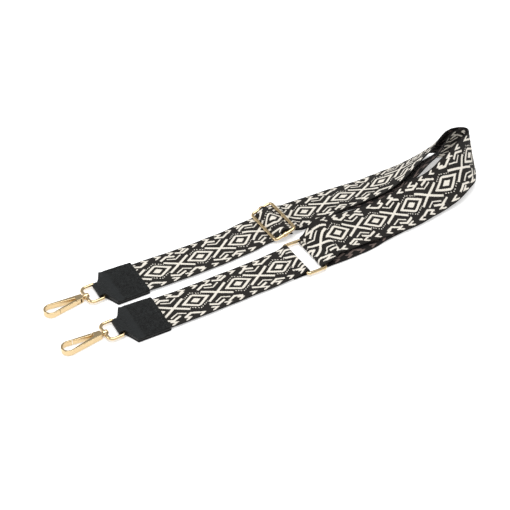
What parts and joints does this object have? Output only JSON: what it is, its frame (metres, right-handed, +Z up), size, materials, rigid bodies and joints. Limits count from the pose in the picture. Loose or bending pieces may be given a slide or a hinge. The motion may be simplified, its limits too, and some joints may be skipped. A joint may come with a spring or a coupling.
{
  "type": "bag strap",
  "caption": "Adjustable shoulder strap of flat patterned webbing with a centre-bar slider, a rectangular ring, leather tabs and swivel snap hooks, laid down folded in two.",
  "frame": {"origin": "centre of the footprint, on the surface that the strap lies on", "axes": "+X along the two straight arms, from the hooks to the turn; +Y from the ring arm to the slider arm; +Z up"},
  "size_m": [0.573, 0.1302, 0.0544],
  "materials": {
    "webbing": "woven jacquard, cream on brownish black",
    "leather": "pebbled black leather",
    "gold_metal": "polished light gold plating",
    "steel": "plain",
    "thread": "bonded sewing thread"
  },
  "bodies": {
    "root": {"long_webbing": "webbing", "leather_tab_b": "leather", "tab_stitching_b": "thread"},
    "slider": {"slider_frame": "gold_metal"},
    "slider_bar": {"slider_bar": "gold_metal", "slider_fold_stitching": "thread"},
    "ring": {"ring": "gold_metal"},
    "short_end": {"short_webbing": "webbing", "ring_fold_stitching": "thread", "leather_tab_a": "leather", "tab_stitching_a": "thread"},
    "loop_a": {"swivel_loop_a": "gold_metal"},
    "hook_a": {"hook_body_a": "gold_metal", "gate_pin_a": "steel", "gate_spring_a": "steel", "swivel_rivet_a": "gold_metal"},
    "gate_a": {"hook_gate_a": "gold_metal"},
    "loop_b": {"swivel_loop_b": "gold_metal"},
    "hook_b": {"hook_body_b": "gold_metal", "gate_pin_b": "steel", "gate_spring_b": "steel", "swivel_rivet_b": "gold_metal"},
    "gate_b": {"hook_gate_b": "gold_metal"}
  },
  "joints": [
    {"name": "loop_swing_a", "type": "hinge", "parent": "short_end", "child": "loop_a", "pos_m": [-0.22064, -0.03669, 0.00395], "axis": [-0.0628, 0.998, 0], "range_deg": [0, 80]},
    {"name": "hook_turn_a", "type": "hinge", "parent": "loop_a", "child": "hook_a", "pos_m": [-0.23721, -0.03773, 0.00395], "axis": [-0.998, -0.0628, 0], "continuous": true},
    {"name": "gate_open_a", "type": "hinge", "parent": "hook_a", "child": "gate_a", "pos_m": [-0.24588, -0.03607, 0.00395], "axis": [0, 0, 1], "range_deg": [0, 18], "stiffness_Nm_per_rad": 0.05, "springref_deg": -17.19, "deforming": ["gate_spring_a"]},
    {"name": "loop_swing_b", "type": "hinge", "parent": "root", "child": "loop_b", "pos_m": [-0.21505, 0.02609, 0.00395], "axis": [-0.0785, 0.9969, 0], "range_deg": [0, 80]},
    {"name": "hook_turn_b", "type": "hinge", "parent": "loop_b", "child": "hook_b", "pos_m": [-0.2316, 0.02479, 0.00395], "axis": [-0.9969, -0.0785, 0], "continuous": true},
    {"name": "gate_open_b", "type": "hinge", "parent": "hook_b", "child": "gate_b", "pos_m": [-0.23995, 0.02192, 0.00395], "axis": [0, 0, -1], "range_deg": [0, 18], "stiffness_Nm_per_rad": 0.05, "springref_deg": -17.19, "deforming": ["gate_spring_b"]},
    {"name": "slider_slide", "type": "slide", "parent": "root", "child": "slider", "axis": [1, 0, 0], "range_m": [-0.06, 0.06], "deforming": ["long_webbing"]},
    {"name": "bar_play", "type": "slide", "parent": "slider", "child": "slider_bar", "axis": [0.9553, 0, 0.2955], "range_m": [-0.002, 0.002], "deforming": ["long_webbing"]},
    {"name": "ring_slide", "type": "slide", "parent": "root", "child": "ring", "axis": [1, 0, 0], "range_m": [-0.03, 0.03], "deforming": ["long_webbing"]},
    {"name": "short_end_swing", "type": "hinge", "parent": "ring", "child": "short_end", "pos_m": [-0.00255, -0.03472, 0.00415], "axis": [0, 1, 0], "range_deg": [0, 110]}
  ],
  "couplings": [
    {"joint": "ring_slide", "follows": "slider_slide", "ratio": -0.5}
  ]
}
